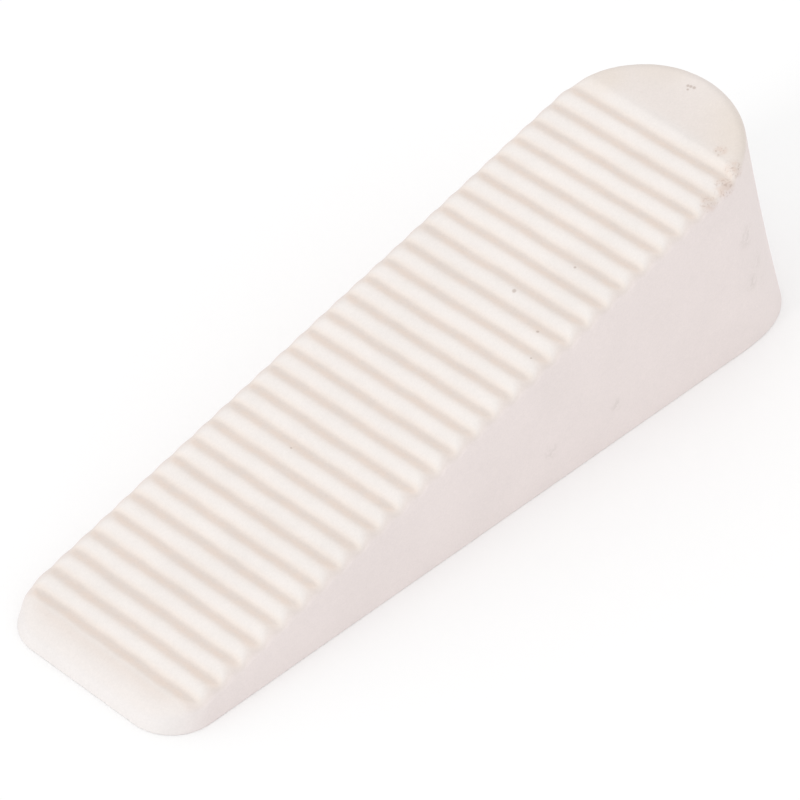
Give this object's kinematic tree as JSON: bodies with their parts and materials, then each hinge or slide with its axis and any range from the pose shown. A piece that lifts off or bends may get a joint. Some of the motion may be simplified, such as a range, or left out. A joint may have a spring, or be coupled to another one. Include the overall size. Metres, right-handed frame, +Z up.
{
  "type": "door wedge",
  "caption": "Solid white rubber door wedge: a long ramp with rounded cross ribs, a blunt rounded toe, sloping side walls and a tall rounded heel that flares at its foot.",
  "frame": {"origin": "centre of the bottom of the wedge's box, on the floor that it stands on", "axes": "+X along the wedge from the thin toe to the tall heel, +Y across it to its left side, +Z up; the XZ plane is the mirror plane"},
  "size_m": [0.12, 0.035, 0.0311],
  "materials": {
    "white_rubber": "matte"
  },
  "bodies": {
    "root": {"wedge_body": "white_rubber"}
  },
  "joints": []
}
